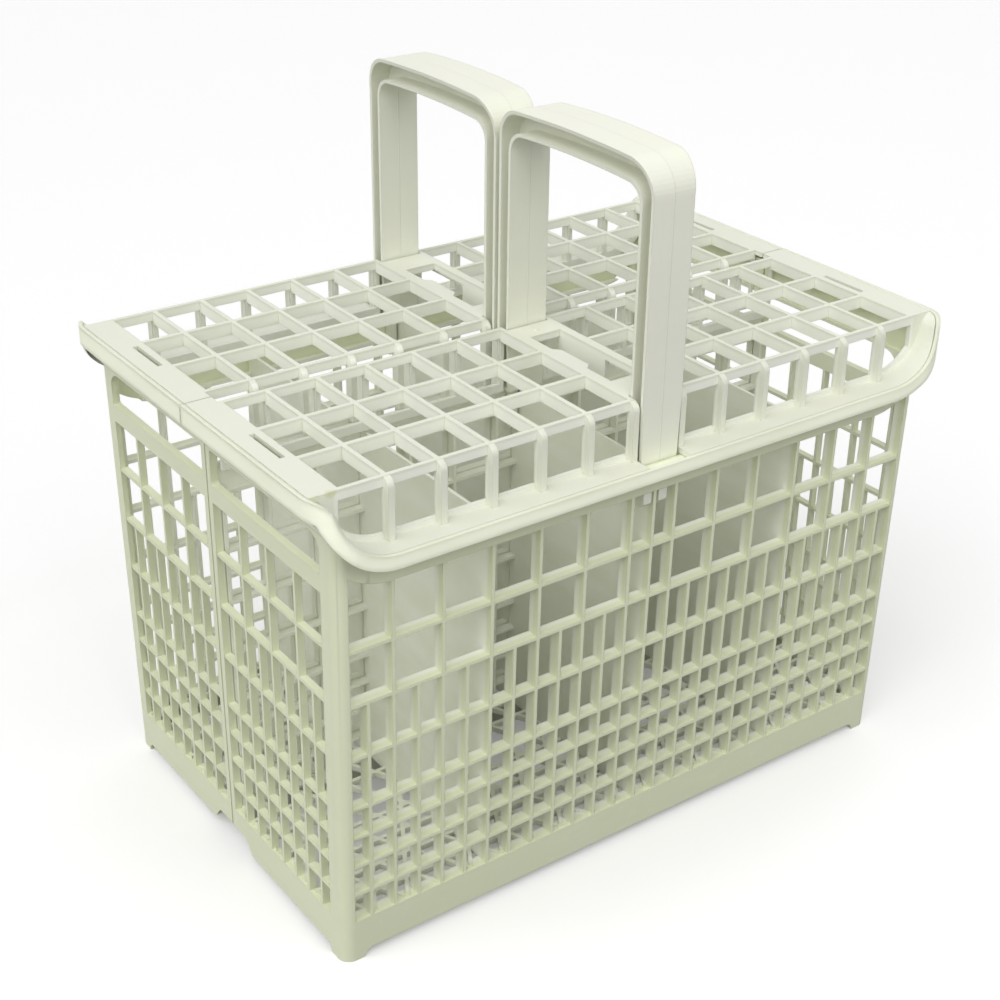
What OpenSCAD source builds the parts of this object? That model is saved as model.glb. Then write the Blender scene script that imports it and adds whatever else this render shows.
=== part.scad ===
// Cutlery basket for a dishwasher: two lattice half baskets that stand side by
// side, each with four compartments, a snap-in lid grid and a carrying handle.
// +X runs along the basket, +Y from the front half to the rear half and +Z up.
// The origin is at the middle of the footprint, on the plane of the feet.

/* [Overall] */
// Outside length of the basket walls
body_length = 227; // [200:1:260]
// Seam plane to the outside of a half's long wall, at the height of the lids
half_depth = 74.8; // [68:0.2:84]
// Feet to the top of the lids
body_height = 164.3; // [150:0.1:185]
// Gap between the two halves
seam_gap = 0.6; // [0.3:0.1:1]
// Lean of the long walls, in degrees
long_draft = 1; // [0.5:0.25:1.5]

/* [Walls] */
// Thickness of the plain sheet of posts, bands and skirt
sheet_t = 1.8; // [1.4:0.1:2.4]
// Depth of the crossing bars of a long wall
long_bar_depth = 4.4; // [3:0.2:6]
// Depth of the crossing bars of an end wall
end_bar_depth = 2.6; // [2.2:0.1:3.4]
// Depth of the crossing bars of the wall at the seam
seam_bar_depth = 3; // [2.4:0.2:4]
// Radius of the upright outer corners
corner_r = 4; // [2.5:0.5:4.5]
// Width of the corner post seen on a long wall
corner_post_x = 4.2; // [4:0.1:7]
// Width of the corner post seen on an end wall
corner_post_y = 7.8; // [6:0.1:10]
// Width of the post beside the seam
seam_post_y = 2.4; // [2:0.1:4]

/* [Lattice] */
// Spacing of the tall columns of the long walls and of the lid cells
pitch = 17.2; // [15:0.1:19]
// Thickness of a lattice bar seen from outside
bar_w = 1.2; // [0.9:0.1:1.6]
// Step from a wall's face back to its bars
bar_set_back = 0.2; // [0.1:0.05:0.4]
// Lid top to the head of the lattice
lattice_drop = 33.2; // [32.2:0.1:36]
// Height of a tall row
tall_row = 18.5; // [16:0.1:20]
// Number of tall rows
tall_rows = 4; // [3:1:5]
// Number of tall rows without half columns
open_rows = 2; // [1:1:3]
// Height of a short row
short_row = 10.7; // [9:0.1:13]
// Tall columns of an end wall
end_columns = 4; // [3:1:5]

/* [Top windows] */
// Lid top to the plain band under the rim of a long wall
band_drop = 31.5; // [30:0.1:32]
// Radius of the curve at the upper corners of a long wall's lattice
field_curve_r = 23.7; // [20:0.1:26]
// End wall to the centre of that curve
field_curve_inset = 18.9; // [16:0.1:22]
// Lid top to the head of the end wall's long window
long_window_drop = 15.4; // [12:0.1:18]
// Height of the end wall's long window
long_window_h = 11.8; // [9:0.1:14]
// Radius of the long window's upper outer corner
long_window_r = 6; // [3:0.5:8]
// Radius of the long window's other corners
small_r = 1.2; // [0.5:0.1:2]

/* [Bottom] */
// Feet to the top of the plain skirt
skirt_h = 15.5; // [13:0.1:20]
// Feet to the lower edge of the skirt
skirt_clear = 2.9; // [2:0.1:5]
// Length of a foot along each wall
foot_l = 7.4; // [6:0.1:12]
// Half length of the raised edge at the seam
arch_half = 8.6; // [6:0.1:14]
// Length of the curve beside the raised edge
arch_run = 5.2; // [3:0.1:8]
// Rise of that edge above the skirt's lower edge
arch_rise = 5.1; // [2:0.1:7]
// Thickness of the open floor
floor_t = 2; // [1.5:0.1:3]
// Side of the floor's triangles
floor_side = 12; // [10:0.5:16]
// Width of a floor rib
floor_rib_w = 1.4; // [1:0.1:2]

/* [Dividers] */
// Thickness of a divider
divider_t = 1.2; // [1:0.1:2]
// Lid columns between the middle and the next divider
divider_columns = 3; // [2:1:4]
// Lid top to the upper edge of the dividers
divider_drop = 23.4; // [23:0.1:28]

/* [Rim] */
// Overhang of the rim outside the walls
rim_overhang = 6.9; // [5:0.1:9]
// Radius of the rim's corners seen from above
rim_corner_r = 12; // [9:0.5:16]
// Thickness of the rim's lip
lip_t = 1.4; // [1:0.1:2]
// Height of the lip at the ends
end_lip_h = 6.4; // [5.4:0.1:8]
// Height of the lip along the long sides
side_lip_h = 4.4; // [4:0.1:6]
// Thickness of the shelf under the lid's flange
shelf_t = 1.6; // [1.2:0.1:2]
// Depth of the rim's dip along the long sides
dip_depth = 19.2; // [15:0.1:20]
// Radius of the hollow curve at each end of the dip
dip_r = 18.9; // [14:0.1:20]
// End wall to the centre of that curve
dip_inset = 17.2; // [14:0.1:22]
// Radius of the crown where the dip meets the end
crown_r = 5.2; // [4:0.1:7]

/* [Lid] */
// Thickness of the lid's flange and rails
flange_t = 1.6; // [1.2:0.1:2]
// Clearance between the lid and what carries it
lid_clear = 0.2; // [0.1:0.05:0.4]
// Thickness of a lid bar seen from above
lid_bar_w = 1.6; // [1.2:0.1:2.2]
// Depth of a lid bar
lid_bar_h = 4.2; // [3:0.1:6]
// Seam plane to the middle of the lid's wall at the seam
lid_seam_y = 4.8; // [4:0.1:6]
// Long wall's face to the middle of the lid's outer wall
lid_wall_inset = 3.8; // [3.2:0.1:5]
// Thickness of the lid's walls
lid_wall_t = 1.5; // [1.2:0.1:2]
// Rows of cells in a lid
lid_rows = 3; // [2:1:4]
// Height of the lid wall's top band
lid_band_h = 3.2; // [2.5:0.1:4.5]
// Amount by which the posts stand proud of the lid's walls
post_proud = 2.4; // [1.5:0.1:3]
// Width of a post
post_w = 2.2; // [1.6:0.1:3]
// Length of a slot in the end rails
rail_slot_l = 17.8; // [12:0.1:22]
// Width of a slot in the end rails
rail_slot_w = 1.7; // [1:0.1:2.4]
// Inner edge of the end rail to the slot
rail_slot_inset = 1.4; // [1:0.1:3]
// Thickness of the plates that bridge the middle column
bridge_t = 2.4; // [1.8:0.1:3]
// Gap between the lid and a handle's leg
leg_gap = 0.5; // [0.3:0.1:1]
// Width of the lid's strips beside the legs
strip_w = 1.6; // [1.2:0.1:2.4]
// Length of the bridge beside the leg at the seam
seam_bridge_l = 8.6; // [6:0.1:12]
// Length of the bridge beside the outer leg
outer_bridge_l = 11.2; // [8:0.1:14]
// Width of the shelf at the left of the middle opening
left_shelf_w = 2.6; // [1.5:0.1:4]
// Width of the tab on that shelf
tab_w = 2.2; // [1:0.1:3]
// Length of the tab
tab_l = 13.6; // [10:0.2:18]
// Width of the shelf at the right of the middle opening
right_shelf_w = 1.6; // [1:0.1:3]
// Depth of the catch wall under the right shelf
catch_h = 8.4; // [6:0.1:12]
// Length of the catch wall
catch_l = 24; // [16:0.5:30]

/* [Handle] */
// Lid top to the top of the handle
handle_rise = 73; // [60:0.5:90]
// Thickness of the legs
leg_t = 6; // [5:0.1:7]
// Thickness of the grip
grip_t = 8; // [6:0.1:10]
// Rise of the grip's arch
grip_arch = 0.8; // [0:0.1:2]
// Width at the feet
leg_foot_w = 13.8; // [12:0.1:15]
// Width along the legs
leg_w = 15.1; // [13:0.1:16]
// Width of the grip
grip_w = 18.4; // [16:0.1:22]
// Outer bend radius
bend_outer_r = 11; // [9:0.5:14]
// Inner bend radius
bend_inner_r = 6; // [3:0.5:8]
// Thickness of the handle's two flanges
handle_flange_t = 1.2; // [0.8:0.1:2]
// Thickness of the web between them
web_t = 1.6; // [1:0.1:3]
// Lid top down to the handle's feet
foot_drop = 22.4; // [21.8:0.1:22.8]
// Seam plane to the inner leg
handle_seam_gap = 0.9; // [0.8:0.1:1.4]
// Height of the stretch where the handle widens
flare_h = 14; // [8:0.5:20]
// Width of a snap prong
prong_w = 3.2; // [2.4:0.1:4]
// Gap between the two prongs of a leg
prong_gap = 2.8; // [2.4:0.1:4]
// Thickness of a prong
prong_t = 2.2; // [1.6:0.1:2.6]
// Reach of a prong's hook under the band of the wall
hook_reach = 1.5; // [0.8:0.1:1.8]
// Height of a prong's hook
hook_h = 5.2; // [4:0.1:7]

/* [Hidden] */
$fn = 48;

body_colour = [0.83, 0.85, 0.74];
lid_colour = [0.86, 0.87, 0.83];
handle_colour = [0.84, 0.86, 0.76];

// Overlap of stretches of one moulding, overrun of cuts and steps of a drawn arc
lap = 0.5;
over = 2;
arc_steps = 12;
curve_steps = 8;

half_length = body_length / 2;

// Lean of the long walls, taken to a cosine of six places, so that faces which share a
// plane with the upright walls stay in it all along the basket
cosine_step = 1e-6;
lean_angle = acos(round(cos(long_draft) / cosine_step) * cosine_step);
lean = tan(lean_angle);

// Heights are counted from the plane of the lid's top, and are negative below it
base_z = -body_height;
base_v = base_z / cos(lean_angle);
skirt_top_z = base_z + skirt_h;
skirt_low_z = base_z + skirt_clear;
arch_z = skirt_low_z + arch_rise;
floor_z = skirt_top_z + bar_w / 2 - floor_t;

// Undersides of the walls' level bars
first_short_z = -(lattice_drop + tall_rows * tall_row);
short_rows = floor((first_short_z - skirt_top_z - bar_w) / short_row);
bar_levels = concat(
    [for (k = [1:1:tall_rows]) -(lattice_drop + k * tall_row)],
    [for (k = [1:1:short_rows]) first_short_z - k * short_row]
);
half_head_z = -(lattice_drop + open_rows * tall_row);

// Upright bars of the long walls and of the walls at the seam
field_half = half_length - corner_post_x;
column_count = floor((field_half - bar_w) / pitch + 1 / 2);
half_count = floor((field_half - bar_w) / pitch);
column_bars = [for (k = [0:1:column_count - 1]) (k + 1 / 2) * pitch];
full_bars = concat([for (x = column_bars) -x], [0], column_bars);
half_bars = [for (k = [1:1:half_count], s = [-1, 1]) s * k * pitch];

// Upright bars of an end wall
seam_y = seam_gap / 2;
end_lo = seam_y + seam_post_y;
end_hi = half_depth - corner_post_y;
end_pitch = (end_hi - end_lo) / end_columns;
end_full_bars = [for (k = [1:1:end_columns - 1]) end_lo + k * end_pitch];
end_half_bars = [for (k = [1:1:end_columns]) end_lo + (k - 1 / 2) * end_pitch];

divider_x = (divider_columns + 1 / 2) * pitch;

// Rim, and the lid that lies in it
rim_x = half_length + rim_overhang;
rim_y = half_depth + rim_overhang;
shelf_top = flange_t + lid_clear;
shelf_low = shelf_top + shelf_t;
dip_centre = [half_length - dip_inset, dip_r - dip_depth];
lid_edge = lip_t + lid_clear;
lid_wall_y = half_depth - lid_wall_inset;
lid_in_y = lid_wall_y - lid_wall_t / 2;
lid_row_pitch = (lid_wall_y - lid_seam_y) / lid_rows;
lid_x = half_length - end_bar_depth - lid_clear;
lid_wall_z = -foot_drop + lid_clear;

// Handle
leg_in_lo = handle_seam_gap;
leg_in_hi = handle_seam_gap + leg_t;
leg_out_hi = half_depth;
leg_out_lo = half_depth - leg_t;
slot_half = leg_w / 2 + leg_gap;
prong_x = prong_gap / 2;
prong_room = prong_x + prong_w + leg_gap;

// Points of an arc from angle a to angle b, and lists of points turned about
function arc(c, r, a, b) =
    [for (i = [0:1:arc_steps]) let (t = a + (b - a) * i / arc_steps) c + r * [cos(t), sin(t)]];
function back(points) = [for (i = [len(points) - 1:-1:0]) points[i]];
function mirrored(points) = [for (q = points) [-q[0], q[1]]];

// Flat drawings, u level and v up, that stand up facing Y or X; t is their thickness
module facing_y(t) rotate([90, 0, 0]) linear_extrude(t) children();
module facing_x(t) rotate([90, 0, 90]) linear_extrude(t) children();

// Right half of the rim's edge seen from the front, off below the rim's top line
// along the dip and end_off below it at the end
function dip_side(off, end_off) =
    let (
        r = dip_r + off,
        crown = max(crown_r - end_off, lap),
        crown_z = -end_off - crown,
        crown_x = dip_centre[0] + sqrt(pow(r + crown, 2) - pow(dip_centre[1] - crown_z, 2)),
        meet = atan2(crown_z - dip_centre[1], crown_x - dip_centre[0])
    )
    concat(
        arc(dip_centre, r, -90, meet),
        arc([crown_x, crown_z], crown, meet + 180, 90),
        [[rim_x + over + end_off, -end_off]]
    );

// Open space above that edge
module dip_space(off, end_off) {
    side = dip_side(off, end_off);
    reach = rim_x + over + end_off;
    polygon(concat(side, [[reach, over], [-reach, over]], mirrored(back(side))));
}

// Strip of a given thickness that follows the edge
module dip_strip(off, thickness) {
    difference() {
        dip_space(off + thickness, off + thickness);
        dip_space(off, off);
    }
}

// Outline of the rim seen from above, inset from its outer edge
module rim_plan(inset, start) {
    x = rim_x - inset;
    y = rim_y - inset;
    r = rim_corner_r - inset;
    corner = arc([x - r, y - r], r, 0, 90);
    polygon(concat([[-x, start], [x, start]], corner, mirrored(back(corner))));
}

// Bars of a wall's lattice between lo and hi
module lattice(lo, hi, head, full, half) {
    foot = skirt_top_z - lap;
    for (u = full) translate([u - bar_w / 2, foot]) square([bar_w, head + lap - foot]);
    for (u = half) translate([u - bar_w / 2, foot]) square([bar_w, half_head_z + lap - foot]);
    for (v = bar_levels) translate([lo - lap, v]) square([hi - lo + 2 * lap, bar_w]);
}

// Region that the lattice of a long wall fills: its head rises at the corners, as the rim does
module long_field() {
    centre = [half_length - field_curve_inset, -band_drop + field_curve_r];
    head = arc(centre, field_curve_r, -90, -acos((field_half - centre[0]) / field_curve_r));
    polygon(concat([[-field_half, skirt_top_z], [field_half, skirt_top_z]], back(head), mirrored(head)));
}

// Lower edge of a wall from the blend beside its foot to the rounded corner
function foot_edge(corner, base, end) = concat(
    arc([corner - foot_l - skirt_clear, base], skirt_clear, 90, 0),
    [[end, base]]
);

// Plain sheet of a long wall
module long_sheet() {
    end = half_length - corner_r;
    foot = foot_edge(half_length, base_v, end);
    head = [for (q = dip_side(shelf_low - lap, shelf_low - lap)) if (q[0] < end) q];
    side = concat(foot, [[end, head[len(head) - 1][1]]], back(head));
    difference() {
        polygon(concat(side, mirrored(back(side))));
        long_field();
        translate([-slot_half, -foot_drop - lid_clear]) square([2 * slot_half, over]);
    }
}

// Thick border behind the edge of the lattice; it leaves room for the prongs of the handle
module border(half, field_head) {
    difference() {
        translate([-half - bar_w, skirt_top_z - bar_w])
            square([2 * (half + bar_w), field_head - skirt_top_z + 2 * bar_w]);
        children();
        translate([-prong_room, field_head - lap]) square([2 * prong_room, bar_w + 2 * lap]);
    }
}

// Long outer wall, which leans inwards to its foot
module long_wall() {
    translate([0, half_depth, 0]) rotate([-lean_angle, 0, 0]) {
        facing_y(sheet_t) long_sheet();
        translate([0, -bar_set_back, 0]) facing_y(long_bar_depth - bar_set_back)
            lattice(-field_half, field_half, -band_drop, full_bars, half_bars);
        translate([0, -sheet_t / 2, 0])
            facing_y(long_bar_depth - sheet_t / 2) border(field_half, -band_drop) long_field();
    }
}

// Rounded upright corner, which leans with the long wall
module corner_post() {
    centre = [half_length - corner_r, -corner_r];
    outer = arc(centre, corner_r, 90, 0);
    inner = arc(centre, corner_r - sheet_t, 0, 90);
    translate([0, half_depth, 0]) rotate([-lean_angle, 0, 0])
        translate([0, 0, base_v]) linear_extrude(-base_v)
            polygon(concat(
                [[half_length - corner_post_x, 0]], outer,
                [[half_length, -corner_post_y], [half_length - sheet_t, -corner_post_y]], inner,
                [[half_length - corner_post_x, -sheet_t]]
            ));
}

// Plain sheet of an end wall, from the seam to the rounded corner
module end_sheet() {
    edge_top = half_depth - corner_post_y / 2;
    edge_low = edge_top + base_z * lean;
    top = -(shelf_low - lap);
    foot = foot_edge(half_depth + base_z * lean, base_z, edge_low);
    swell = [
        for (i = [0:1:curve_steps]) let (t = i / curve_steps)
            [arch_half + arch_run * t, arch_z - arch_rise * (1 - cos(180 * t)) / 2]
    ];
    difference() {
        polygon(concat([[seam_y, arch_z]], swell, foot, [[edge_top + top * lean, top], [seam_y, top]]));
        end_field();
        long_window();
    }
}

module end_field() {
    translate([end_lo, skirt_top_z]) square([end_hi - end_lo, -lattice_drop - skirt_top_z]);
}

// Long window under the rim of an end wall
module long_window() {
    top = -long_window_drop;
    low = top - long_window_h;
    polygon(concat(
        arc([end_lo + small_r, low + small_r], small_r, 180, 270),
        arc([end_hi - small_r, low + small_r], small_r, 270, 360),
        arc([end_hi - long_window_r, top - long_window_r], long_window_r, 0, 90),
        arc([end_lo + small_r, top - small_r], small_r, 90, 180)
    ));
}

module end_border() {
    difference() {
        translate([end_lo - bar_w, skirt_top_z - bar_w])
            square([end_hi - end_lo + 2 * bar_w, -long_window_drop - skirt_top_z + 2 * bar_w]);
        end_field();
        long_window();
    }
}

// End wall at the right
module end_wall() {
    translate([half_length - sheet_t, 0, 0]) facing_x(sheet_t) end_sheet();
    translate([half_length - end_bar_depth, 0, 0]) {
        facing_x(end_bar_depth - bar_set_back)
            lattice(end_lo, end_hi, -lattice_drop, end_full_bars, end_half_bars);
        facing_x(end_bar_depth - sheet_t / 2) end_border();
    }
}

// Both ends of a half, cut down at the corners where the rim dips
module ends() {
    difference() {
        for (s = [0, 1]) mirror([s, 0, 0]) {
            end_wall();
            corner_post();
        }
        translate([0, rim_y + over, 0]) facing_y(rim_y + over - lid_in_y + lid_clear)
            dip_space(shelf_low - lap, shelf_low - lap);
        translate([-rim_x, 0, lap - shelf_low]) cube([2 * rim_x, rim_y, shelf_low]);
    }
}

module seam_field() {
    translate([-field_half, skirt_top_z]) square([2 * field_half, -band_drop - skirt_top_z]);
}

// Wall at the seam
module seam_wall() {
    half = half_length - sheet_t / 2;
    translate([0, seam_y + sheet_t, 0]) facing_y(sheet_t) difference() {
        translate([-half, arch_z]) square([2 * half, -foot_drop - arch_z]);
        seam_field();
    }
    translate([0, seam_y + seam_bar_depth, 0]) {
        facing_y(seam_bar_depth - bar_set_back)
            lattice(-field_half, field_half, -band_drop, full_bars, half_bars);
        facing_y(seam_bar_depth - sheet_t / 2) border(field_half, -band_drop) seam_field();
    }
}

// Middle of the long wall's sheet at height z
function sheet_y(z) = half_depth + z * lean - sheet_t / 2;

module dividers() {
    low = floor_z + floor_t / 2;
    in_y = seam_y + sheet_t / 2;
    for (x = [-divider_x, 0, divider_x])
        translate([x - divider_t / 2, 0, 0]) facing_x(divider_t) polygon([
            [in_y, low], [sheet_y(low), low], [sheet_y(-divider_drop), -divider_drop], [in_y, -divider_drop]
        ]);
}

// Ribs of the open floor: level ribs and two slanting families, which leave triangles
module floor_ribs(x, lo, hi) {
    row = floor_side * sin(60);
    rows = ceil((hi - lo) / row);
    run = rows * row;
    cols = ceil((2 * x + run / tan(60)) / floor_side);
    for (k = [1:1:rows - 1]) translate([-x, lo + k * row - floor_rib_w / 2]) square([2 * x, floor_rib_w]);
    for (k = [0:1:cols], s = [0, 1])
        mirror([s, 0]) translate([-x - run / tan(60) + k * floor_side, lo]) rotate(60)
            translate([0, -floor_rib_w / 2]) square([run / sin(60), floor_rib_w]);
}

module floor_lattice() {
    x = half_length - sheet_t / 2;
    lo = seam_y + sheet_t / 2;
    hi = sheet_y(floor_z);
    translate([0, 0, floor_z]) linear_extrude(floor_t) intersection() {
        floor_ribs(x, lo, hi);
        translate([-x, lo]) square([2 * x, hi - lo]);
    }
}

// Shelf that carries the lid's flange, and the lip round it
module rim() {
    deep = dip_depth + side_lip_h + over;
    intersection() {
        translate([0, 0, -deep]) linear_extrude(deep) difference() {
            rim_plan(lip_t / 2, seam_y);
            translate([-half_length + sheet_t / 2, -over])
                square([body_length - sheet_t, half_depth - sheet_t + over]);
            translate([-slot_half, -over]) square([2 * slot_half, leg_out_hi + leg_gap + over]);
        }
        translate([0, rim_y, 0]) facing_y(rim_y) dip_strip(shelf_top, shelf_t);
    }
    intersection() {
        translate([0, 0, -deep]) linear_extrude(deep) difference() {
            rim_plan(0, seam_y);
            rim_plan(lip_t, -over);
        }
        translate([0, rim_y + over, 0]) facing_y(rim_y + over) difference() {
            dip_space(side_lip_h, end_lip_h);
            dip_space(0, 0);
        }
    }
}

module basket() {
    long_wall();
    ends();
    seam_wall();
    dividers();
    floor_lattice();
    rim();
}

// Lid: outer wall, with a window between each two posts and a curved one at the corners
lid_bars = concat([for (x = back(column_bars)) -x], column_bars);
module lid_windows(low) {
    stops = concat([-lid_x], lid_bars, [lid_x]);
    for (i = [0:1:len(stops) - 2]) {
        a = stops[i] + lid_bar_w / 2;
        b = stops[i + 1] - lid_bar_w / 2;
        if (a > 0 || b < 0) translate([a, low]) square([b - a, -lid_band_h - low]);
    }
}

module lid_outer_wall() {
    difference() {
        intersection() {
            dip_space(flange_t, flange_t);
            translate([-rim_x, -dip_depth - flange_t]) square([2 * rim_x, dip_depth + flange_t]);
        }
        intersection() {
            lid_windows(-dip_depth);
            dip_space(-flange_t, flange_t);
        }
        translate([-slot_half, -dip_depth - over]) square([2 * slot_half, dip_depth + 2 * over]);
    }
}

module lid_seam_wall() {
    difference() {
        translate([-lid_x, lid_wall_z]) square([2 * lid_x, -lid_wall_z]);
        lid_windows(-dip_depth);
        translate([-slot_half, lid_wall_z - over]) square([2 * slot_half, -lid_wall_z + 2 * over]);
    }
}

// Upright post with a rounded head, proud of the wall behind it
module post(low) {
    proud = lid_wall_t / 2 + post_proud;
    translate([-post_w / 2, 0, 0]) facing_x(post_w) polygon(concat(
        [[0, low], [proud, low]],
        arc([0, -proud], proud, 0, 90)
    ));
}

module lid_flange() {
    deep = dip_depth + over + flange_t;
    intersection() {
        translate([0, 0, -deep]) linear_extrude(deep + over) difference() {
            rim_plan(lid_edge, seam_y);
            translate([-rim_x, -over]) square([2 * rim_x, lid_in_y + over]);
            translate([-slot_half, -over]) square([2 * slot_half, rim_y + 2 * over]);
        }
        translate([0, rim_y, 0]) facing_y(rim_y) dip_strip(0, flange_t);
    }
}

// End rail at the right, with its slot
module rail() {
    in_x = lid_x - lap;
    slot_y = lid_seam_y + 3 / 2 * lid_row_pitch;
    translate([0, 0, -flange_t]) linear_extrude(flange_t) difference() {
        intersection() {
            rim_plan(lid_edge, seam_y);
            translate([in_x, 0]) square([rim_x - in_x, lid_wall_y]);
        }
        translate([in_x + rail_slot_inset, slot_y - rail_slot_l / 2]) square([rail_slot_w, rail_slot_l]);
    }
}

// Bars of the lid and the strips and bridges of its middle column
module lid_grid() {
    translate([0, 0, -lid_bar_h]) linear_extrude(lid_bar_h) {
        for (x = lid_bars) if (abs(x) > pitch)
            translate([x - lid_bar_w / 2, lid_seam_y]) square([lid_bar_w, lid_wall_y - lid_seam_y]);
        for (k = [1:1:lid_rows - 1], s = [0, 1]) mirror([s, 0])
            translate([slot_half + lap, lid_seam_y + k * lid_row_pitch - lid_bar_w / 2])
                square([lid_x - slot_half - 2 * lap, lid_bar_w]);
        for (s = [0, 1]) mirror([s, 0]) {
            translate([slot_half, lid_seam_y]) square([strip_w, lid_wall_y - lid_seam_y]);
            translate([lid_x - lid_bar_w, lid_seam_y]) square([lid_bar_w, lid_wall_y - lid_seam_y]);
        }
    }
}

module lid_middle() {
    lo = leg_in_hi + leg_gap;
    hi = leg_out_lo - leg_gap;
    open_lo = lo + seam_bridge_l;
    open_hi = hi - outer_bridge_l;
    left = -slot_half + left_shelf_w;
    right = slot_half - right_shelf_w;
    mid = (open_lo + open_hi) / 2;
    translate([0, 0, -bridge_t]) linear_extrude(bridge_t) difference() {
        translate([-slot_half - lap, lo]) square([2 * (slot_half + lap), hi - lo]);
        polygon([
            [left, open_lo], [right, open_lo], [right, open_hi], [left, open_hi],
            [left, mid + tab_l / 2 + tab_w], [left + tab_w, mid + tab_l / 2],
            [left + tab_w, mid - tab_l / 2], [left, mid - tab_l / 2 - tab_w]
        ]);
    }
    translate([right, open_lo - lap, -catch_h]) cube([lid_bar_w, catch_l, catch_h]);
}

module lid() {
    intersection() {
        translate([0, lid_wall_y + lid_wall_t / 2, 0]) facing_y(lid_wall_t) lid_outer_wall();
        translate([0, 0, -dip_depth - over]) linear_extrude(dip_depth + 2 * over) rim_plan(lid_edge, seam_y);
    }
    translate([0, lid_seam_y + lid_wall_t / 2, 0]) facing_y(lid_wall_t) lid_seam_wall();
    lid_flange();
    for (s = [0, 1]) mirror([s, 0, 0]) rail();
    lid_grid();
    lid_middle();
    for (x = lid_bars) {
        post_x = abs(x) > pitch ? x : sign(x) * (slot_half + post_w / 2);
        translate([post_x, lid_wall_y, 0]) post(-dip_depth - flange_t / 2);
        translate([post_x, lid_seam_y, 0]) mirror([0, 1, 0]) post(lid_wall_z);
    }
}

// Handle: outline of the arch between lo and hi, open at the feet
module arch_plan(lo, hi, top, r) {
    half = (hi - lo) / 2 - r;
    mid = (lo + hi) / 2;
    side = concat(
        [[hi - mid, -foot_drop]],
        arc([half, top - grip_arch - r], r, 0, 90),
        [for (i = [1:1:curve_steps]) let (t = 1 - i / curve_steps) [half * t, top - grip_arch * t * t]]
    );
    translate([mid, 0]) polygon(concat(side, mirrored(back(side))));
}

module outer_arch(inset) {
    arch_plan(leg_in_lo + inset, leg_out_hi - inset, handle_rise - inset, bend_outer_r - inset);
}

module inner_arch(grow) {
    arch_plan(leg_in_hi - grow, leg_out_lo + grow, handle_rise - grip_t + grow, bend_inner_r + grow);
}

// Width of the handle seen from the front: it widens towards the grip
module handle_front() {
    flare_z = handle_rise - flare_h;
    side = concat(
        [[leg_foot_w / 2, -foot_drop], [leg_w / 2, 0], [leg_w / 2, flare_z]],
        [
            for (i = [1:1:curve_steps]) let (t = i / curve_steps)
                [leg_w / 2 + (grip_w - leg_w) / 2 * t * t, flare_z + flare_h * t]
        ],
        [[grip_w / 2, handle_rise + over]]
    );
    polygon(concat(side, mirrored(back(side))));
}

// Pair of snap prongs under a leg, hooked towards +Y, with y = 0 on the wall's inner face
module prongs() {
    hook_top = -band_drop - lid_clear;
    tip = hook_top - hook_h;
    back_y = -lid_clear - prong_t;
    for (s = [0, 1]) mirror([s, 0, 0]) translate([prong_x, 0, 0]) facing_x(prong_w) polygon([
        [back_y, -foot_drop + lap], [back_y, tip], [-lid_clear, tip],
        [hook_reach, tip + hook_reach], [hook_reach, hook_top], [-lid_clear, hook_top],
        [-lid_clear, -foot_drop + lap]
    ]);
}

module handle() {
    depth = leg_out_hi - leg_in_lo;
    intersection() {
        translate([-grip_w / 2, 0, 0]) facing_x(grip_w) {
            difference() {
                outer_arch(0);
                outer_arch(handle_flange_t);
            }
            difference() {
                inner_arch(handle_flange_t);
                inner_arch(0);
            }
            for (y = [leg_in_lo, leg_out_lo]) translate([y, -foot_drop]) square([leg_t, handle_flange_t]);
        }
        translate([0, leg_out_hi + over, 0]) facing_y(depth + 2 * over) handle_front();
    }
    translate([-web_t / 2, 0, 0]) facing_x(web_t) difference() {
        outer_arch(handle_flange_t / 2);
        inner_arch(handle_flange_t / 2);
    }
    translate([0, half_depth - (foot_drop + band_drop) / 2 * lean - sheet_t, 0]) prongs();
    translate([0, seam_y + sheet_t, 0]) mirror([0, 1, 0]) prongs();
}

// Each half stands on its feet; the front one mirrors the rear one
module in_place(front) translate([0, 0, body_height]) mirror([0, front ? 1 : 0, 0]) children();

module rear_basket() color(body_colour) in_place(false) basket();
module front_basket() color(body_colour) in_place(true) basket();
module rear_lid() color(lid_colour) in_place(false) lid();
module front_lid() color(lid_colour) in_place(true) lid();
module rear_handle() color(handle_colour) in_place(false) handle();
module front_handle() color(handle_colour) in_place(true) handle();

rear_basket();
front_basket();
rear_lid();
front_lid();
rear_handle();
front_handle();
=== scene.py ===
"""Finishes, small moulding marks, stage, light and camera for a dishwasher's cutlery basket."""

import math

import bmesh
import bpy
from bpy.props import FloatProperty, FloatVectorProperty, IntProperty, PointerProperty
from mathutils import Matrix, Vector


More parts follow.
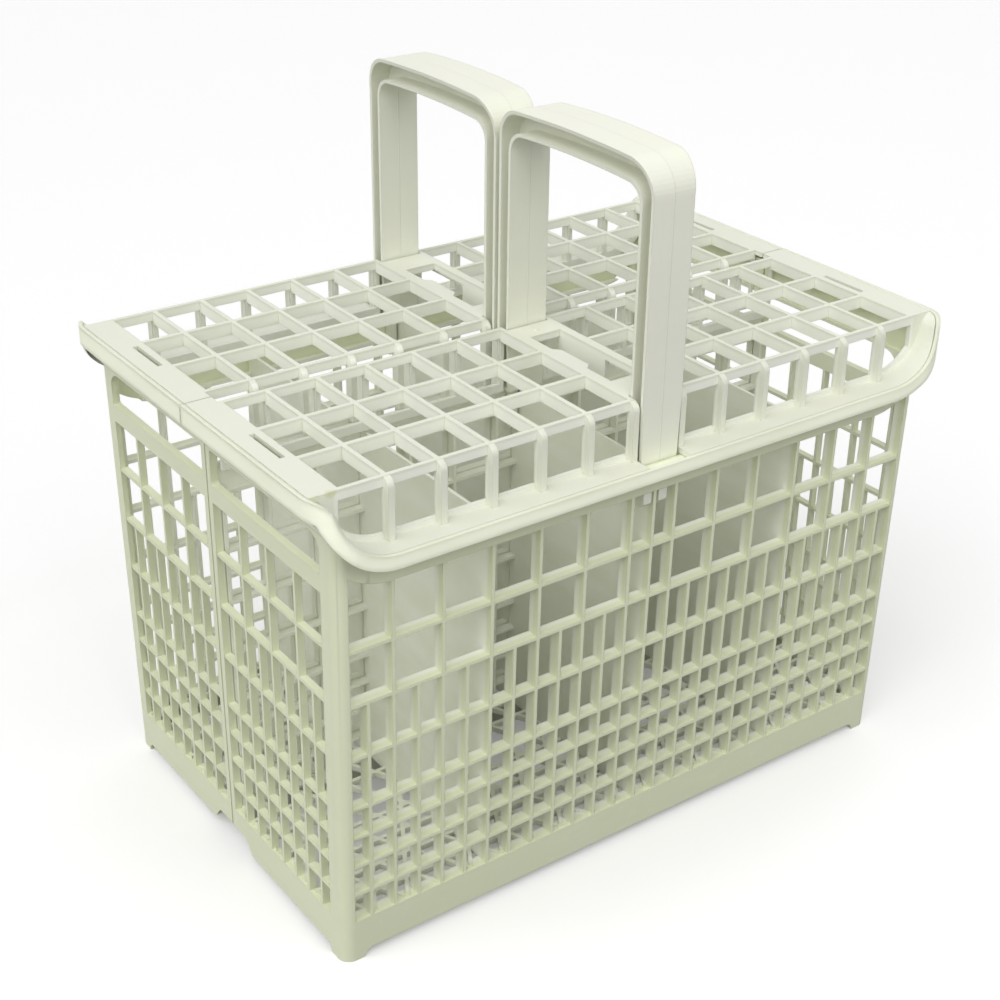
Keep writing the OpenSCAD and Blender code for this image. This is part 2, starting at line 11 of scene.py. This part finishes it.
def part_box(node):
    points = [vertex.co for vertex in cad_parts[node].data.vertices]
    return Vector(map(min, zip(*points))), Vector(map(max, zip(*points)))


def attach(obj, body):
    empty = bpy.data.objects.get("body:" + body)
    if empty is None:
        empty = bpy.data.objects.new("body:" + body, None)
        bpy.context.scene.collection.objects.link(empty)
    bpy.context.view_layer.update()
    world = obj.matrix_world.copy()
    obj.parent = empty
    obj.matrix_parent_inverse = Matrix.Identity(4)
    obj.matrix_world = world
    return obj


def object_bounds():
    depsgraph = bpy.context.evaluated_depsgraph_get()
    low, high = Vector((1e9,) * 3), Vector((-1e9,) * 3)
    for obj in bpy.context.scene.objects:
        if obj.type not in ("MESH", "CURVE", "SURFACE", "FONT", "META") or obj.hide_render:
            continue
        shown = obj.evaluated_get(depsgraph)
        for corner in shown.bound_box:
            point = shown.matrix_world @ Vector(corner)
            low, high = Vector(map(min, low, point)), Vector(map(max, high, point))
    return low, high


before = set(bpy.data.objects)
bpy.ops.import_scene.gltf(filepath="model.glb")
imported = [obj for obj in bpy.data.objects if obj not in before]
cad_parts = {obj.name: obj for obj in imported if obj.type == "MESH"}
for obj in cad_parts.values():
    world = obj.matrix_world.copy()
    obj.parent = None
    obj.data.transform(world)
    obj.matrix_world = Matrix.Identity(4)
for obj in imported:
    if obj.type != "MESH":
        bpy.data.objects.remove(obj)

bl_info = {
    "name": "Cutlery Basket Studio",
    "version": (1, 0, 0),
    "blender": (4, 5, 0),
    "location": "3D View > Sidebar > Basket",
    "description": "Dresses the two-part cutlery basket in moulded plastic and sets it in a plain studio",
    "category": "Object",
}

MM = 0.001
WHITE = (1.0, 1.0, 1.0, 1.0)
BLACK = (0.0, 0.0, 0.0, 1.0)
CAD_BOX = [list(corner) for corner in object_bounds()]
LOW, HIGH = Vector(CAD_BOX[0]), Vector(CAD_BOX[1])

BASKETS = ("rear_basket", "front_basket")
LIDS = ("rear_lid", "front_lid")
HANDLES = ("rear_handle", "front_handle")
LID_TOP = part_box("front_lid")[1][2]

# The colour sockets of a Mix node
MIX_FACTOR, MIX_FIRST, MIX_SECOND, MIX_RESULT = 0, 6, 7, 2

# The rim's lip and the walls' inner faces: how far in from the object's sides they lie, in millimetres,
# and how far the long walls lean in for each millimetre down
LIP_REACH = 5.6
WALL_DEPTH = 9.4
WALL_LEAN = math.tan(math.radians(1))
LIP_X, LIP_Y = HIGH.x / MM - LIP_REACH, HIGH.y / MM - LIP_REACH
INNER_X, INNER_Y = HIGH.x / MM - WALL_DEPTH, HIGH.y / MM - WALL_DEPTH
LIP_BLEND = 0.4
INNER_BLEND = 1.0

# The painted light that makes the inside paler ends just under the lid's top
SKIN = 0.8
SKIN_BLEND = 0.6

# Noises of the finish. The sizes are in millimetres, or as parts of the flow clouds' size
NOISE_MEAN = 0.5
CLOUD_NOISE = {"detail": 3.0, "rough": 0.55}
FLOW_NOISE = {"detail": 2.0, "rough": 0.5, "stretch": (0.35, 0.35, 1.6)}
GRAIN_NOISE = {"detail": 2.0, "rough": 0.6}
WAVE_NOISE = {"detail": 1.0, "rough": 0.4}
SCUFF_NOISE = {"size": 1.1, "detail": 3.0, "rough": 0.62, "stretch": (2.4, 2.4, 0.22)}
MARK_NOISE = {"size": 5.2, "detail": 4.0, "rough": 0.66}
FLOOR_NOISE = {"size": 60.0, "detail": 2.0, "rough": 0.5}
FLOWS_PER_CLOUD = 3
WAVES_PER_CLOUD = 5

# Where each noise, or the height in millimetres, turns a mask on or off: the level, and the blend's width
CLOUD_FADE = (0.5, 0.5)
FLOW_FADE = (0.52, 0.4)
SCUFF_FADE = (0.66, 0.05)
MARK_FADE = (0.61, 0.05)
FOOT_FADE = (26.0, 40.0)

# How strongly each trait shows in the colour
FLOW_SHARE = 0.35
MARK_SHARE = 0.10
FOOT_MARK_SHARE = 0.30
SCUFF_SHARE = 0.22
STAIN_SHARE = 0.75
NICK_SHARE = 0.6
PARTING_SHARE = 0.35

# How strongly each trait shows in the roughness
CLOUD_DULLING = 0.12
GRAIN_DULLING = 0.10
MARK_DULLING = 0.08
SCUFF_DULLING = 0.10

# How strongly each trait shows in the relief
GRAIN_RELIEF = 0.5
WAVE_RELIEF = 1.2
PARTING_RELIEF = 1.6

# The yellowed spots on the near lid's end rail: how far in from the near corner along X and Y, and
# how far each spreads, in millimetres
WORN_SPOTS = ((8.4, 9.1, 2.0), (3.6, 8.3, 2.2))
SPOT_RAGGED = 1.6
SPOT_FADE = (0.8, 1.0)

# The dark nick in each spot: half its length and width and its shift along Y, in millimetres
NICK_HALF_LENGTH = 1.3
NICK_HALF_WIDTH = 0.32
NICK_SHIFT = 0.3
NICK_RAGGED = 2.0
NICK_FADE = (0.8, 0.8)
NICK_LIMIT = (1.2, 0.4)

# The parting line on the handles: half its width and its blend, in millimetres
PARTING_FADE = (0.16, 0.14)

# Rays that round the edges, and the least angle of an edge that gets a facet
ROUNDING_RAYS = 2
EDGE_ANGLE = math.radians(35)

# The gate stubs: sides, depth in the lid in millimetres, and the outline above it as shares of the
# radius and the height
GATE_SIDES = 32
GATE_SINK = 0.2
GATE_SHARES = ((1.0, 0.5), (0.85, 0.9), (0.3, 1.0), (0.0, 0.8))

FLOOR_ROUGHNESS = 0.85
FLOOR_DULLING = 0.05
FLOOR_GLOSS = 0.1

# The camera's sensor in millimetres and its clipping distances in metres
SENSOR_WIDTH = 36
CLIP_START, CLIP_END = 0.01, 50


class Wire:
    """A shader socket that takes part in arithmetic: each expression adds its Math node."""

    def __init__(self, shop, socket):
        self.shop = shop
        self.socket = socket

    def _math(self, operation, *values, clamp=False):
        settings = {"operation": operation, "use_clamp": clamp}
        node = self.shop.node("ShaderNodeMath", settings, dict(enumerate(values)))
        return self.shop.wire(node, 0)

    def __add__(self, other):
        return self._math("ADD", self, other)

    def __radd__(self, other):
        return self._math("ADD", other, self)

    def __sub__(self, other):
        return self._math("SUBTRACT", self, other)

    def __rsub__(self, other):
        return self._math("SUBTRACT", other, self)

    def __mul__(self, other):
        return self._math("MULTIPLY", self, other)

    def __rmul__(self, other):
        return self._math("MULTIPLY", other, self)

    def __truediv__(self, other):
        return self._math("DIVIDE", self, other)

    def __abs__(self):
        return self._math("ABSOLUTE", self)

    def clamped(self):
        return self._math("ADD", self, 0.0, clamp=True)

    def near(self, level, reach):
        """Square of the distance from the level, in units of reach."""
        away = (self - level) / reach
        return away * away

    def under(self, level, blend):
        """1 well below the level, 0 well above it, with a change that is blend wide."""
        return self._math("DIVIDE", level + blend / 2 - self, blend, clamp=True)

    def over(self, level, blend):
        """1 well above the level, 0 well below it, with a change that is blend wide."""
        return self._math("DIVIDE", self - (level - blend / 2), blend, clamp=True)


class Shop:
    """Builds the nodes of a material or of the world."""

    def __init__(self, owner):
        self.owner = owner
        owner.use_nodes = True
        self.tree = owner.node_tree
        self.tree.nodes.clear()

    def wire(self, node, output):
        return Wire(self, node.outputs[output])

    def node(self, kind, settings=None, inputs=None):
        made = self.tree.nodes.new(kind)
        for key, value in (settings or {}).items():
            setattr(made, key, value)
        for key, value in (inputs or {}).items():
            if isinstance(value, Wire):
                self.tree.links.new(value.socket, made.inputs[key])
            else:
                made.inputs[key].default_value = value
        return made

    def vector(self, operation, first, second=None):
        """The result of a Vector Math node."""
        inputs = {0: first} if second is None else {0: first, 1: second}
        return self.wire(self.node("ShaderNodeVectorMath", {"operation": operation}, inputs), 0)

    def place(self, stretch=(1, 1, 1)):
        """The point on the object, in millimetres, stretched along the axes."""
        where = self.wire(self.node("ShaderNodeTexCoord"), "Object")
        return self.vector("MULTIPLY", where, [share / MM for share in stretch])

    def axes(self):
        split = self.node("ShaderNodeSeparateXYZ", inputs={0: self.place()})
        return [self.wire(split, i) for i in range(3)]

    def noise(self, size, detail, rough, stretch=(1, 1, 1)):
        """Noise whose grain is about size millimetres."""
        inputs = {"Vector": self.place(stretch), "Scale": 1 / size, "Detail": detail, "Roughness": rough}
        return self.wire(self.node("ShaderNodeTexNoise", inputs=inputs), "Fac")

    def blend(self, factor, first, second):
        inputs = {MIX_FACTOR: factor, MIX_FIRST: first, MIX_SECOND: second}
        return self.wire(self.node("ShaderNodeMix", {"data_type": "RGBA"}, inputs), MIX_RESULT)

    def rounded(self, radius):
        """The surface's direction with its edges rounded by a radius in metres."""
        return self.wire(self.node("ShaderNodeBevel", {"samples": ROUNDING_RAYS}, {"Radius": radius}), 0)

    def tilted(self, normal, share):
        """The direction, leant upwards by a share of its own length."""
        rise = self.wire(self.node("ShaderNodeCombineXYZ", inputs={2: share}), 0)
        return self.vector("NORMALIZE", self.vector("ADD", normal, rise))

    def bump(self, height, distance, normal):
        """The direction with a relief on it, whose depth is distance millimetres."""
        inputs = {"Height": height, "Distance": distance * MM, "Normal": normal}
        return self.wire(self.node("ShaderNodeBump", inputs=inputs), "Normal")

    def surface(self, inputs):
        skin = self.node("ShaderNodeBsdfPrincipled", inputs=inputs)
        self.node("ShaderNodeOutputMaterial", inputs={"Surface": self.wire(skin, "BSDF")})
        return self.owner


def opaque(colour, factor=1.0):
    """A colour with its alpha, brighter or darker by a factor."""
    return [channel * factor for channel in colour] + [1.0]


class Plastic(Shop):
    """Satin polypropylene: faint flow clouds, a fine spark-eroded grain, scuffs and old water marks."""

    def __init__(self, name, colour, look):
        super().__init__(bpy.data.materials.new(name))
        self.colour, self.look = colour, look
        self.across, self.along, self.up = self.axes()
        self.clouds = self.noise(look.cloud_size, **CLOUD_NOISE)
        self.grain = self.noise(look.grain_size, **GRAIN_NOISE)
        self.waves = self.noise(look.cloud_size / WAVES_PER_CLOUD, **WAVE_NOISE)
        self.scuffs = self.noise(**SCUFF_NOISE).over(*SCUFF_FADE)
        self.marks = self.noise(**MARK_NOISE).over(*MARK_FADE)
        self.relief = self.grain * GRAIN_RELIEF + self.waves * WAVE_RELIEF
        self.eased = None
        warm = [tint * channel for tint, channel in zip(look.warm_tint, colour)]
        yellowed = (self.clouds.over(*CLOUD_FADE) * look.cloud_depth).clamped()
        self.paint = self.blend(yellowed, opaque(colour), opaque(warm))

    def cover(self, mask, colour, factor=1.0):
        """Paints a colour over what is there, as far as the mask says."""
        self.paint = self.blend(mask.clamped(), self.paint, opaque(colour, factor))

    def paint_inside_light(self):
        """Between the walls, and under the lid's top, paints the plastic paler: painted light that stands in
        for the light reaching the inside.
        """
        top = LID_TOP / MM
        wall = INNER_Y - (top - self.up) * WALL_LEAN
        between = abs(self.across).under(INNER_X, INNER_BLEND) * abs(self.along).under(wall, INNER_BLEND)
        inside = between * self.up.under(top - SKIN, SKIN_BLEND)
        # Painted light: the paler colour stands in for the light that reaches the inside
        self.cover(inside * self.look.inside_light_share, self.look.inside_light_colour)

    def rolled_lip(self):
        """The rim's lip gets a paler colour as a painted highlight of a rolled bead, with rounder edges and a
        lean as on a rolled bead.
        """
        look = self.look
        outside = (abs(self.across).over(LIP_X, LIP_BLEND) + abs(self.along).over(LIP_Y, LIP_BLEND)).clamped()
        # Painted highlight: the lip's paler colour stands in for the light on a rolled bead
        self.cover(outside, look.lip_highlight_colour)
        rounded = self.rounded(outside * (look.lip_radius - look.edge_radius) + look.edge_radius)
        self.eased = self.tilted(rounded, outside * look.lip_lean)

    def wear(self):
        """Flow marks of the mould, water marks that gather at the foot, and scuffs."""
        look = self.look
        flow = self.noise(look.cloud_size / FLOWS_PER_CLOUD, **FLOW_NOISE)
        self.cover(flow.over(*FLOW_FADE) * FLOW_SHARE, self.colour, look.flow_shade)
        low = self.up.under(*FOOT_FADE)
        self.cover(self.marks * (MARK_SHARE + FOOT_MARK_SHARE * low), self.colour, look.mark_shade)
        self.cover(self.scuffs * SCUFF_SHARE, self.colour, look.scuff_shade)

    def worn_spot(self, x, y, z, reach):
        """A ragged yellowed spot with a dark nick in it."""
        spot = self.across.near(x, reach) + self.along.near(y, reach) + self.up.near(z, reach)
        ragged = (spot + (self.grain - NOISE_MEAN) * SPOT_RAGGED).under(*SPOT_FADE)
        self.cover(ragged * STAIN_SHARE, self.look.stain_colour)
        nick = self.across.near(x, NICK_HALF_LENGTH) + self.along.near(y - NICK_SHIFT, NICK_HALF_WIDTH)
        nicked = (nick + (self.waves - NOISE_MEAN) * NICK_RAGGED).under(*NICK_FADE) * spot.under(*NICK_LIMIT)
        self.cover(nicked * NICK_SHARE, self.look.nick_colour)

    def parting_line(self):
        """The fine raised line where the mould's halves met."""
        parting = abs(self.across).under(*PARTING_FADE)
        self.cover(parting * PARTING_SHARE, self.colour, self.look.flow_shade)
        self.relief = self.relief + parting * PARTING_RELIEF

    def finish(self):
        look = self.look
        rough = look.roughness + (self.clouds - NOISE_MEAN) * CLOUD_DULLING
        rough = rough + (self.grain - NOISE_MEAN) * GRAIN_DULLING
        rough = rough + self.marks * MARK_DULLING + self.scuffs * SCUFF_DULLING
        eased = self.eased or self.rounded(look.edge_radius)
        return self.surface(
            {
                "Base Color": self.paint,
                "Roughness": rough.clamped(),
                "IOR": look.ior,
                "Specular IOR Level": look.gloss,
                "Normal": self.bump(self.relief, look.grain_height, eased),
            }
        )


def soften(names, look):
    """Cuts a narrow facet on the sharp edges of the model as it is shown."""
    for name in names:
        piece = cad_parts[name]
        weld = piece.modifiers.new("joined_faces", "WELD")
        weld.merge_threshold = look.weld
        ease = piece.modifiers.new("eased_edges", "BEVEL")
        ease.width = look.edge_cut
        ease.segments = look.edge_steps
        ease.limit_method = "ANGLE"
        ease.angle_limit = EDGE_ANGLE
        ease.use_clamp_overlap = True
        ease.harden_normals = False
        ease.miter_outer = "MITER_SHARP"


def repaint(names, material):
    """Gives the pieces one material all over."""
    for name in names:
        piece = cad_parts[name]
        piece.data.materials.clear()
        piece.data.materials.append(material)
        for face in piece.data.polygons:
            face.material_index = 0


def turned(name, profile, sides, centre):
    """A turned piece from a profile of (radius, height) points in millimetres, on a centre in metres."""
    mesh = bmesh.new()
    rings = []
    for radius, height in profile:
        angles = [2 * math.pi * i / sides for i in range(sides)] if radius else [0]
        points = [(radius * MM * math.cos(a), radius * MM * math.sin(a), height * MM) for a in angles]
        rings.append([mesh.verts.new(point) for point in points])
    for low, high in zip(rings, rings[1:]):
        for i in range(sides):
            j = (i + 1) % sides
            corners = [low[i % len(low)], low[j % len(low)], high[j % len(high)], high[i % len(high)]]
            corners = list(dict.fromkeys(corners))
            if len(corners) > 2:
                mesh.faces.new(corners)
    data = bpy.data.meshes.new(name)
    bmesh.ops.recalc_face_normals(mesh, faces=mesh.faces)
    mesh.to_mesh(data)
    mesh.free()
    for face in data.polygons:
        face.use_smooth = True
    piece = bpy.data.objects.new(name, data)
    bpy.context.scene.collection.objects.link(piece)
    data.transform(Matrix.Translation(centre))
    return piece


class PlasticLook(bpy.types.PropertyGroup):
    """The moulded finish that all the pieces share."""

    body_colour: FloatVectorProperty(
        name="Basket colour",
        description="Ivory of the two baskets",
        subtype="COLOR",
        default=(0.79, 0.832, 0.61),
    )
    lid_colour: FloatVectorProperty(
        name="Lid colour",
        description="Off-white of the two lid grids",
        subtype="COLOR",
        default=(0.80, 0.817, 0.707),
    )
    handle_colour: FloatVectorProperty(
        name="Handle colour",
        description="Off-white of the two handles",
        subtype="COLOR",
        default=(0.85, 0.865, 0.755),
    )
    # Painted light: a paler colour between the walls and under the lid's top that stands in for the light
    # reaching the inside
    inside_light_colour: FloatVectorProperty(
        name="Inner colour",
        description="Paler plastic inside",
        subtype="COLOR",
        default=(0.92, 0.93, 0.845),
    )
    inside_light_share: FloatProperty(
        name="Inner share",
        description="How far the inside is paler",
        subtype="FACTOR",
        default=0.9,
    )
    # The lip's colour is a painted highlight: paler, as light falls on a rolled bead
    lip_highlight_colour: FloatVectorProperty(
        name="Lip colour",
        description="Rubbed ivory of the rim's lip",
        subtype="COLOR",
        default=(0.95, 0.97, 0.80),
    )
    stain_colour: FloatVectorProperty(
        name="Stain colour",
        description="Yellowed wear",
        subtype="COLOR",
        default=(0.62, 0.63, 0.36),
    )
    nick_colour: FloatVectorProperty(
        name="Nick colour",
        description="Dirt in a nick",
        subtype="COLOR",
        default=(0.26, 0.27, 0.13),
    )
    warm_tint: FloatVectorProperty(
        name="Warm tint",
        description="Factor on the colour where the plastic has yellowed",
        default=(1.0, 0.985, 0.93),
    )
    cloud_size: FloatProperty(
        name="Cloud size",
        description="Size of the flow clouds in millimetres",
        default=34.0,
    )
    cloud_depth: FloatProperty(
        name="Cloud depth",
        description="Share of the warm tint in a cloud",
        subtype="FACTOR",
        default=0.55,
    )
    flow_shade: FloatProperty(
        name="Flow shade",
        description="Brightness of a flow mark",
        subtype="FACTOR",
        default=0.955,
    )
    mark_shade: FloatProperty(
        name="Mark shade",
        description="Brightness of a water mark",
        default=1.05,
    )
    scuff_shade: FloatProperty(
        name="Scuff shade",
        description="Brightness of a scuff",
        default=1.08,
    )
    grain_size: FloatProperty(
        name="Grain size",
        description="Size of the mould's grain in millimetres",
        default=0.55,
    )
    grain_height: FloatProperty(
        name="Grain height",
        description="Depth of the surface's relief in millimetres",
        default=0.05,
    )
    roughness: FloatProperty(
        name="Roughness",
        description="Mean roughness",
        subtype="FACTOR",
        default=0.42,
    )
    gloss: FloatProperty(
        name="Gloss",
        description="Specular level",
        subtype="FACTOR",
        default=0.45,
    )
    ior: FloatProperty(
        name="Refraction",
        description="Refractive index of polypropylene",
        default=1.49,
    )
    edge_radius: FloatProperty(
        name="Edge radius",
        description="Radius of the mould's eased edges",
        unit="LENGTH",
        default=0.0004,
    )
    lip_radius: FloatProperty(
        name="Lip radius",
        description="Radius of the rim's rolled lip",
        unit="LENGTH",
        default=0.0026,
    )
    lip_lean: FloatProperty(
        name="Lip lean",
        description="How far the lip's finish leans up, as on a rolled bead",
        default=0.5,
    )
    edge_cut: FloatProperty(
        name="Edge cut",
        description="Width of the facet on each edge",
        unit="LENGTH",
        default=0.00022,
    )
    edge_steps: IntProperty(
        name="Edge steps",
        description="Facets across an eased edge",
        default=1,
        min=1,
        max=3,
    )
    weld: FloatProperty(
        name="Weld",
        description="Distance within which corners are one",
        unit="LENGTH",
        default=0.000001,
    )


class MarkSizes(bpy.types.PropertyGroup):
    """The small round marks that the moulding tool leaves."""

    gate_radius: FloatProperty(
        name="Gate radius",
        description="Radius of a cut gate in millimetres",
        default=0.9,
    )
    gate_height: FloatProperty(
        name="Gate height",
        description="Height of its stub in millimetres",
        default=0.3,
    )
    gate_place: FloatProperty(
        name="Gate place",
        description="How far it lies from the seam between the halves, in millimetres",
        default=12.2,
    )


class StageLook(bpy.types.PropertyGroup):
    """Floor, light and camera of the studio."""

    floor_half: FloatProperty(
        name="Floor",
        description="Half the side of the floor",
        unit="LENGTH",
        default=6.0,
    )
    floor_colour: FloatVectorProperty(
        name="Floor colour",
        description="Pale floor, as it is seen",
        subtype="COLOR",
        default=(0.92, 0.92, 0.92),
    )
    floor_glow: FloatVectorProperty(
        name="Floor glow",
        description="What lifts the seen floor to white",
        default=(0.14, 0.14, 0.14),
    )
    floor_bounce: FloatVectorProperty(
        name="Floor bounce",
        description="What the floor throws back on the object",
        default=(0.15, 0.15, 0.15),
    )
    sky_light: FloatProperty(
        name="Sky light",
        description="Strength of the even light",
        default=0.44,
    )
    back_light: FloatProperty(
        name="Backdrop",
        description="Brightness of the backdrop",
        default=0.95,
    )
    key_light: FloatProperty(
        name="Key light",
        description="Strength of the soft key lamp",
        default=1.8,
    )
    key_from: FloatVectorProperty(
        name="Key from",
        description="Direction the key lamp shines from",
        subtype="XYZ",
        default=(-0.70, -0.20, 0.69),
    )
    back_lamp: FloatProperty(
        name="Back lamp",
        description="Strength of the weak lamp behind",
        default=0.55,
    )
    back_from: FloatVectorProperty(
        name="Back from",
        description="Direction that lamp shines from",
        subtype="XYZ",
        default=(0.75, 0.6, 0.3),
    )
    lamp_spread: FloatProperty(
        name="Lamp spread",
        description="Angle that the key lamp and the back lamp each span",
        subtype="ANGLE",
        default=math.radians(70),
    )
    fill_light: FloatProperty(
        name="Fill light",
        description="Power of the front lamp in watts",
        default=1.5,
    )
    fill_side: FloatProperty(
        name="Fill side",
        description="Side of the front lamp",
        unit="LENGTH",
        default=0.5,
    )
    fill_at: FloatVectorProperty(
        name="Fill at",
        description="Place of the front lamp",
        subtype="XYZ",
        unit="LENGTH",
        default=(0.0, -0.56, 0.60),
    )
    fill_aim: FloatVectorProperty(
        name="Fill aim",
        description="Point that it lights",
        subtype="XYZ",
        unit="LENGTH",
        default=(0.0, 0.0, 0.2),
    )
    lens: FloatProperty(
        name="Lens",
        description="Focal length in millimetres",
        default=62.633,
    )
    shift_x: FloatProperty(
        name="Shift across",
        description="Sideways shift of the picture",
        default=-0.00097,
    )
    shift_y: FloatProperty(
        name="Shift up",
        description="Upward shift of the picture",
        default=0.00551,
    )
    eye: FloatVectorProperty(
        name="Eye",
        description="Place of the camera",
        subtype="XYZ",
        unit="LENGTH",
        default=(-0.31387, -0.42704, 0.37838),
    )
    to_right: FloatVectorProperty(
        name="Right",
        description="Direction to the picture's right",
        default=(0.813459, -0.581499, 0.011988),
    )
    to_top: FloatVectorProperty(
        name="Top",
        description="Direction to the picture's top",
        default=(0.265844, 0.390064, 0.881576),
    )


class BASKET_OT_stage(bpy.types.Operator):
    """Set the floor, the soft light and the camera"""

    bl_idname = "basket.stage"
    bl_label = "Set the stage"

    def execute(self, context):
        scene = context.scene
        look = scene.basket_stage
        self.floor(scene, look)
        self.sky(scene, look)
        self.suns(scene, look)
        self.fill(scene, look)
        self.camera(scene, look)
        scene.view_settings.view_transform = "Standard"
        return {"FINISHED"}

    def floor(self, scene, look):
        half = look.floor_half
        data = bpy.data.meshes.new("studio_floor")
        corners = [(-half, -half, 0), (half, -half, 0), (half, half, 0), (-half, half, 0)]
        data.from_pydata(corners, [], [(0, 1, 2, 3)])
        plane = bpy.data.objects.new("studio_floor", data)
        scene.collection.objects.link(plane)
        shop = Shop(bpy.data.materials.new("studio_floor"))
        path = shop.node("ShaderNodeLightPath")
        seen = (shop.wire(path, "Is Camera Ray") + shop.wire(path, "Is Glossy Ray")).clamped()
        dull = FLOOR_ROUGHNESS + shop.noise(**FLOOR_NOISE) * FLOOR_DULLING
        floor = shop.surface(
            {
                "Base Color": shop.blend(seen, opaque(look.floor_bounce), opaque(look.floor_colour)),
                "Emission Color": shop.blend(seen, BLACK, opaque(look.floor_glow)),
                "Emission Strength": 1.0,
                "Roughness": dull.clamped(),
                "Specular IOR Level": FLOOR_GLOSS,
            }
        )
        data.materials.append(floor)

    def sky(self, scene, look):
        """An even light for the object, and a pale backdrop for the camera."""
        scene.world = scene.world or bpy.data.worlds.new("studio")
        shop = Shop(scene.world)
        seen = shop.wire(shop.node("ShaderNodeLightPath"), "Is Camera Ray")
        even = shop.node("ShaderNodeBackground", inputs={"Color": WHITE, "Strength": look.sky_light})
        back = shop.node("ShaderNodeBackground", inputs={"Color": WHITE, "Strength": look.back_light})
        mix = shop.node("ShaderNodeMixShader", inputs={0: seen, 1: shop.wire(even, 0), 2: shop.wire(back, 0)})
        shop.node("ShaderNodeOutputWorld", inputs={"Surface": shop.wire(mix, 0)})

    def lamp(self, scene, name, kind, direction):
        """A lamp that shines from a direction. Returns its settings and its object."""
        settings = bpy.data.lights.new(name, kind)
        lamp = bpy.data.objects.new(name, settings)
        lamp.rotation_mode = "QUATERNION"
        lamp.rotation_quaternion = direction.to_track_quat("Z", "Y")
        scene.collection.objects.link(lamp)
        return settings, lamp

    def suns(self, scene, look):
        suns = (
            ("key_lamp", look.key_light, look.key_from),
            ("back_lamp", look.back_lamp, look.back_from),
        )
        for name, strength, direction in suns:
            sun, _ = self.lamp(scene, name, "SUN", Vector(direction))
            sun.energy = strength
            sun.angle = look.lamp_spread

    def fill(self, scene, look):
        panel, lamp = self.lamp(scene, "fill_lamp", "AREA", Vector(look.fill_at) - Vector(look.fill_aim))
        panel.energy = look.fill_light
        panel.size = look.fill_side
        lamp.location = look.fill_at
        lamp.visible_camera = False

    def camera(self, scene, look):
        data = bpy.data.cameras.new("camera")
        data.lens = look.lens
        data.sensor_width = SENSOR_WIDTH
        data.shift_x, data.shift_y = look.shift_x, look.shift_y
        data.clip_start, data.clip_end = CLIP_START, CLIP_END
        camera = bpy.data.objects.new("camera", data)
        right = Vector(look.to_right).normalized()
        back = right.cross(Vector(look.to_top)).normalized()
        top = back.cross(right)
        turn = Matrix((right, top, back)).transposed()
        camera.matrix_world = Matrix.Translation(look.eye) @ turn.to_4x4()
        scene.collection.objects.link(camera)
        scene.camera = camera


class BASKET_OT_dress_baskets(bpy.types.Operator):
    """Finish the two baskets in ivory plastic"""

    bl_idname = "basket.dress_baskets"
    bl_label = "Dress the baskets"

    def execute(self, context):
        look = context.scene.basket_plastic
        plastic = Plastic("ivory_plastic", look.body_colour, look)
        plastic.paint_inside_light()
        plastic.rolled_lip()
        plastic.wear()
        repaint(BASKETS, plastic.finish())
        soften(BASKETS, look)
        return {"FINISHED"}


class BASKET_OT_dress_lids(bpy.types.Operator):
    """Finish the two lid grids in off-white plastic"""

    bl_idname = "basket.dress_lids"
    bl_label = "Dress the lids"

    def execute(self, context):
        look = context.scene.basket_plastic
        plastic = Plastic("lid_plastic", look.lid_colour, look)
        plastic.paint_inside_light()
        plastic.wear()
        for x, y, reach in WORN_SPOTS:
            plastic.worn_spot(LOW.x / MM + x, LOW.y / MM + y, LID_TOP / MM, reach)
        repaint(LIDS, plastic.finish())
        soften(LIDS, look)
        return {"FINISHED"}


class BASKET_OT_dress_handles(bpy.types.Operator):
    """Finish the two handles in off-white plastic with a parting line"""

    bl_idname = "basket.dress_handles"
    bl_label = "Dress the handles"

    def execute(self, context):
        look = context.scene.basket_plastic
        plastic = Plastic("handle_plastic", look.handle_colour, look)
        plastic.wear()
        plastic.parting_line()
        repaint(HANDLES, plastic.finish())
        return {"FINISHED"}


class BASKET_OT_gate_marks(bpy.types.Operator):
    """Add the cut gate stubs on the lids' seam bridges"""

    bl_idname = "basket.gate_marks"
    bl_label = "Add the gate marks"

    def execute(self, context):
        sizes = context.scene.basket_marks
        material = bpy.data.materials["lid_plastic"]
        radius, height = sizes.gate_radius, sizes.gate_height
        stub = [(radius * wide, height * tall) for wide, tall in GATE_SHARES]
        profile = [(0, -GATE_SINK), (radius, -GATE_SINK)] + stub
        for name, side in (("front_gate_mark", -1), ("rear_gate_mark", 1)):
            centre = Vector((0, side * sizes.gate_place * MM, LID_TOP))
            piece = turned(name, profile, GATE_SIDES, centre)
            piece.data.materials.append(material)
            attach(piece, "root")
        return {"FINISHED"}


class BASKET_PT_sidebar(bpy.types.Panel):
    """The steps and the sizes of the studio"""

    bl_label = "Cutlery basket"
    bl_idname = "BASKET_PT_sidebar"
    bl_space_type = "VIEW_3D"
    bl_region_type = "UI"
    bl_category = "Basket"

    def draw(self, context):
        for step in STEPS:
            self.layout.operator(step.bl_idname)
        for name, group in GROUPS.items():
            box = self.layout.box()
            for size in group.__annotations__:
                box.prop(getattr(context.scene, name), size)


GROUPS = {"basket_plastic": PlasticLook, "basket_marks": MarkSizes, "basket_stage": StageLook}
STEPS = (
    BASKET_OT_stage,
    BASKET_OT_dress_baskets,
    BASKET_OT_dress_lids,
    BASKET_OT_dress_handles,
    BASKET_OT_gate_marks,
)
CLASSES = (*GROUPS.values(), *STEPS, BASKET_PT_sidebar)


def register():
    for made in CLASSES:
        bpy.utils.register_class(made)
    for name, group in GROUPS.items():
        setattr(bpy.types.Scene, name, PointerProperty(type=group))


def unregister():
    for name in GROUPS:
        delattr(bpy.types.Scene, name)
    for made in reversed(CLASSES):
        bpy.utils.unregister_class(made)


def main():
    register()
    bpy.ops.basket.stage()
    bpy.ops.basket.dress_baskets()
    bpy.ops.basket.dress_lids()
    bpy.ops.basket.dress_handles()
    bpy.ops.basket.gate_marks()


if __name__ == "__main__":
    main()
